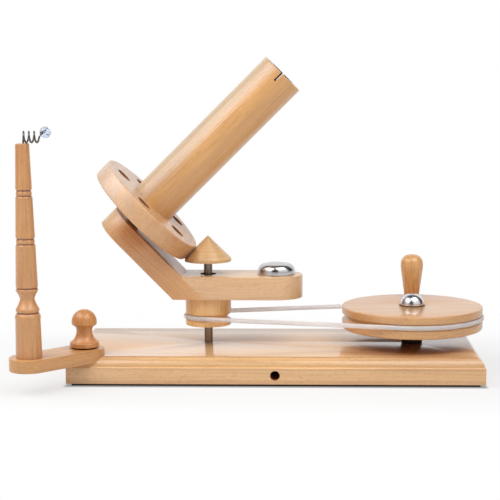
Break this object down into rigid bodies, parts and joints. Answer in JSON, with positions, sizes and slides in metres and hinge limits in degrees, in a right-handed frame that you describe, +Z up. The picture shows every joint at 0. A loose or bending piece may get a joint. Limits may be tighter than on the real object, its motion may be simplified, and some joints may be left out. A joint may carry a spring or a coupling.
{
  "type": "yarn ball winder",
  "caption": "Wooden yarn ball winder: a crank wheel and belt turn a head whose disc rolls on a fixed cone, so the tilted winding tube spins as it orbits. A swinging post guides the yarn.",
  "frame": {"origin": "centre of the underside of the pad under the base board", "axes": "+X along the base from the winding head towards the crank wheel, +Y from the front to the back, +Z up"},
  "size_m": [0.4886, 0.2227, 0.3357],
  "materials": {
    "board_wood": "lacquered beech, glossy",
    "wheel_wood": "lacquered beech",
    "arm_wood": "lacquered beech",
    "disc_wood": "lacquered beech",
    "tube_wood": "lacquered beech",
    "turned_wood": "lacquered beech, turned",
    "post_wood": "lacquered beech, turned",
    "handle_wood": "lacquered hardwood, turned",
    "knob_wood": "lacquered hardwood, turned",
    "dowel_wood": "plain",
    "foot_rubber": "matte",
    "shaft_steel": "ground",
    "spring_steel": "blackened",
    "zinc_steel": "zinc plated",
    "wire_steel": "drawn wire",
    "chrome": "polished",
    "bush_brass": "turned",
    "black_plastic": "satin",
    "belt_rubber": "milky translucent cord",
    "bead_glass": "clear, faintly blue"
  },
  "bodies": {
    "base": {"base_board": "board_wood", "base_pad": "foot_rubber", "clamp_insert": "bush_brass", "head_shaft": "shaft_steel", "shaft_rings": "spring_steel", "thrust_washer": "shaft_steel", "foot_nuts": "zinc_steel", "friction_cone": "turned_wood", "wheel_axle": "shaft_steel", "wheel_spacer": "black_plastic", "axle_washers": "zinc_steel", "dome_nut": "chrome", "drive_belt": "belt_rubber"},
    "wheel": {"drive_wheel": "wheel_wood", "wheel_bush": "bush_brass", "handle_washer": "zinc_steel"},
    "handle": {"crank_handle": "handle_wood", "handle_insert": "bush_brass", "handle_bolt": "zinc_steel"},
    "head": {"drive_pulley": "turned_wood", "pulley_screws": "zinc_steel", "head_bush_lower": "bush_brass", "head_bush_upper": "bush_brass", "arm_beam": "arm_wood", "spindle_arm": "arm_wood", "arm_dowels": "dowel_wood", "counterweight": "chrome", "counterweight_screw": "zinc_steel", "spindle_axle": "zinc_steel", "spindle_spacer": "black_plastic", "spindle_washer": "zinc_steel", "spindle_nut": "zinc_steel"},
    "spindle": {"friction_disc": "disc_wood", "spindle_bush": "bush_brass", "winding_tube": "tube_wood"},
    "guide_arm": {"guide_arm": "arm_wood", "post_screw": "zinc_steel", "guide_post": "post_wood", "pigtail_guide": "wire_steel", "guide_bead": "bead_glass", "clamp_washer": "zinc_steel"},
    "clamp_knob": {"clamp_knob": "knob_wood", "clamp_bolt": "zinc_steel"}
  },
  "joints": [
    {"name": "wheel_turn", "type": "hinge", "parent": "base", "child": "wheel", "pos_m": [0.146, 0, 0.0595], "axis": [0, 0, 1], "continuous": true},
    {"name": "handle_spin", "type": "hinge", "parent": "wheel", "child": "handle", "pos_m": [0.14984, 0.05487, 0.071], "axis": [0, 0, 1], "continuous": true},
    {"name": "head_orbit", "type": "hinge", "parent": "base", "child": "head", "pos_m": [-0.073, 0, 0.0595], "axis": [0, 0, 1], "continuous": true},
    {"name": "spindle_spin", "type": "hinge", "parent": "head", "child": "spindle", "pos_m": [-0.14604, 0.00191, 0.16631], "axis": [0.7106, -0.0186, 0.7034], "continuous": true},
    {"name": "guide_arm_swing", "type": "hinge", "parent": "base", "child": "guide_arm", "pos_m": [-0.1975, -0.0675, 0.0375], "axis": [0, 0, 1], "range_deg": [-46, 0]},
    {"name": "clamp_knob_turn", "type": "hinge", "parent": "base", "child": "clamp_knob", "pos_m": [-0.1975, -0.0675, 0.0375], "axis": [0, 0, 1], "range_deg": [0, 360]}
  ],
  "couplings": [
    {"joint": "head_orbit", "follows": "wheel_turn", "ratio": 3.0682},
    {"joint": "spindle_spin", "follows": "wheel_turn", "ratio": 0.90327}
  ]
}
